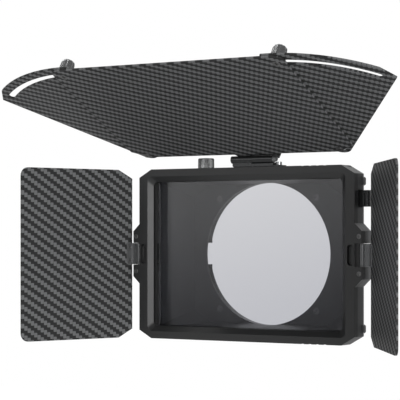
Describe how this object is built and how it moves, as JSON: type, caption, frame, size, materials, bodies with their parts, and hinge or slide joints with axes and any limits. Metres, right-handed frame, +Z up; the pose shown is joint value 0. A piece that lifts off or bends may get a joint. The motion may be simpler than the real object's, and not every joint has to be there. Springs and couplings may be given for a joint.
{
  "type": "lens hood",
  "caption": "Clamp-on matte box lens hood: bevelled front frame, lift-out filter tray, funnel to a round lens clamp, tilting top flag with two sliding wings, and two hinged side flags.",
  "frame": {"origin": "on the lens axis, at the rear face of the lens clamp ring", "axes": "+Y along the lens axis towards the camera lens, +Z up, +X to the right seen from the front"},
  "size_m": [0.2856, 0.143, 0.1806],
  "materials": {
    "frame_plastic": "fine moulded black plastic, satin",
    "inner_plastic": "matte black, light absorbing",
    "carbon_panel": "carbon fibre sheet, two by two twill, satin",
    "grey_metal": "bead blasted anodised aluminium, dark grey",
    "black_metal": "black anodised aluminium",
    "knurled_metal": "gunmetal anodised aluminium, knurled",
    "screw_steel": "black oxide steel",
    "spring_steel": "bright spring steel",
    "filter_glass": "tinted optical glass, polished",
    "nylon": "natural nylon"
  },
  "bodies": {
    "body": {"front_frame": "frame_plastic", "slot_divider": "inner_plastic", "housing": "frame_plastic", "tab_screws": "screw_steel", "clamp_screws": "screw_steel", "side_screws": "screw_steel", "lens_clamp_ring": "black_metal", "clamp_guide": "black_metal", "clamp_nut": "screw_steel", "top_hinge_base": "black_metal", "top_hinge_pin": "grey_metal", "left_hinge_pin": "spring_steel", "right_hinge_pin": "spring_steel", "latch_spring": "spring_steel", "left_button_spring": "spring_steel", "right_button_spring": "spring_steel"},
    "filter_tray": {"filter_tray": "inner_plastic", "filter_glass": "filter_glass", "glass_clips": "black_metal"},
    "tray_latch": {"tray_latch": "black_metal"},
    "clamp_knob": {"clamp_knob": "knurled_metal", "clamp_rod": "screw_steel"},
    "base_screw": {"base_screw": "knurled_metal"},
    "top_flag": {"top_flag": "carbon_panel", "top_hinge_leaf": "black_metal", "top_leaf_screws": "screw_steel", "wing_pivot_screws": "screw_steel", "wing_lock_screws": "screw_steel", "left_wing_washer": "nylon", "right_wing_washer": "nylon"},
    "left_wing": {"left_wing": "carbon_panel"},
    "left_wing_nut": {"left_wing_nut": "knurled_metal"},
    "left_flag": {"left_flag": "carbon_panel", "left_hinge_leaf": "grey_metal", "left_leaf_screws": "screw_steel"},
    "left_button": {"left_button": "frame_plastic"},
    "right_wing": {"right_wing": "carbon_panel"},
    "right_wing_nut": {"right_wing_nut": "knurled_metal"},
    "right_flag": {"right_flag": "carbon_panel", "right_hinge_leaf": "grey_metal", "right_leaf_screws": "screw_steel"},
    "right_button": {"right_button": "frame_plastic"}
  },
  "joints": [
    {"name": "top_flag_tilt", "type": "hinge", "parent": "body", "child": "top_flag", "pos_m": [0.0075, -0.0389, 0.0616], "axis": [-1, 0, 0], "range_deg": [-27, 32]},
    {"name": "right_wing_swing", "type": "hinge", "parent": "top_flag", "child": "right_wing", "pos_m": [0.0725, -0.04172, 0.06837], "axis": [0, -0.4552, -0.8904], "range_deg": [0, 35.5]},
    {"name": "left_wing_swing", "type": "hinge", "parent": "top_flag", "child": "left_wing", "pos_m": [-0.0725, -0.04172, 0.06837], "axis": [0, 0.4552, 0.8904], "range_deg": [0, 35.5]},
    {"name": "right_wing_nut_turn", "type": "hinge", "parent": "top_flag", "child": "right_wing_nut", "pos_m": [0.07647, -0.12934, 0.1143], "axis": [0, 0.4552, 0.8904], "range_deg": [0, 450]},
    {"name": "left_wing_nut_turn", "type": "hinge", "parent": "top_flag", "child": "left_wing_nut", "pos_m": [-0.07647, -0.12934, 0.1143], "axis": [0, 0.4552, 0.8904], "range_deg": [0, 450]},
    {"name": "right_flag_swing", "type": "hinge", "parent": "body", "child": "right_flag", "pos_m": [0.0844, -0.035, 0], "axis": [0, 0, -1], "range_deg": [-29.4, 120.1]},
    {"name": "left_flag_swing", "type": "hinge", "parent": "body", "child": "left_flag", "pos_m": [-0.0844, -0.035, 0], "axis": [0, 0, 1], "range_deg": [-44.7, 107.3]},
    {"name": "right_button_press", "type": "slide", "parent": "body", "child": "right_button", "axis": [0, 1, 0], "range_m": [0, 0.0008], "stiffness_N_per_m": 400, "springref_m": -0.001, "deforming": ["right_button_spring"]},
    {"name": "left_button_press", "type": "slide", "parent": "body", "child": "left_button", "axis": [0, 1, 0], "range_m": [0, 0.0008], "stiffness_N_per_m": 400, "springref_m": -0.001, "deforming": ["left_button_spring"]},
    {"name": "tray_lift", "type": "slide", "parent": "body", "child": "filter_tray", "axis": [0, 0, 1], "range_m": [0, 0.115]},
    {"name": "latch_press", "type": "slide", "parent": "body", "child": "tray_latch", "axis": [-1, 0, 0], "range_m": [0, 0.0018], "stiffness_N_per_m": 300, "springref_m": -0.002, "deforming": ["latch_spring"]},
    {"name": "clamp_knob_turn", "type": "hinge", "parent": "body", "child": "clamp_knob", "pos_m": [-0.0523, -0.0001, 0.05], "axis": [0, 0, 1], "range_deg": [0, 450]},
    {"name": "base_screw_turn", "type": "hinge", "parent": "body", "child": "base_screw", "pos_m": [0.0256, -0.0369, 0.057], "axis": [0, 0, 1], "range_deg": [0, 450]}
  ]
}
